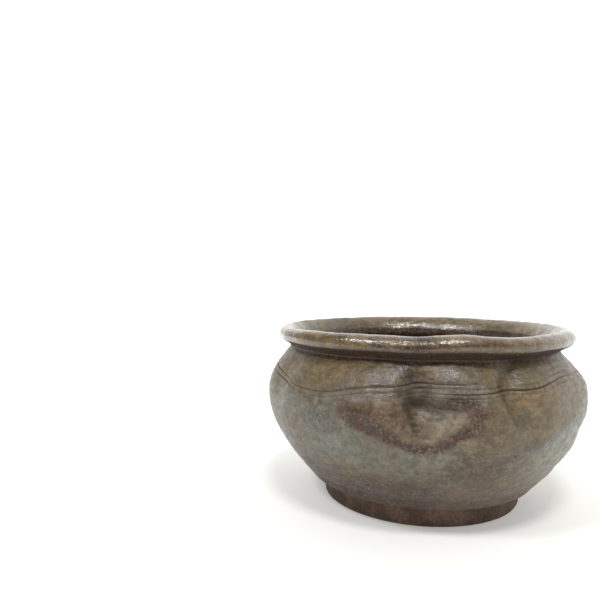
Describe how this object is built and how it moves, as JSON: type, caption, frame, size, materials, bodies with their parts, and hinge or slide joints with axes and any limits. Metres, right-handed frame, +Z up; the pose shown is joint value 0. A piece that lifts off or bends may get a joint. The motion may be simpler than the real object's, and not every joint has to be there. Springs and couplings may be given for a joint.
{
  "type": "waste water bowl",
  "caption": "Round stoneware tea-room waste water bowl with a foot ring, a thumb-pushed shoulder with combed wave lines, and a rolled lip.",
  "frame": {"origin": "centre of the bowl's outline, on the surface that the foot ring stands on", "axes": "+Z up through the mouth; -Y is the front, the side with the deep thumb push"},
  "size_m": [0.162, 0.1624, 0.0892],
  "materials": {
    "bare_clay": "matt unglazed dark red-brown stoneware",
    "flashed_clay": "satin fire-flashed stoneware",
    "ash_glazed_clay": "semi-gloss mottled grey, olive and brown ash glaze",
    "lip_glaze": "glossy olive-tan ash glaze over red-brown clay"
  },
  "bodies": {
    "root": {"foot_ring": "bare_clay", "base_disc": "flashed_clay", "wall": "ash_glazed_clay", "lip": "lip_glaze"}
  },
  "joints": []
}
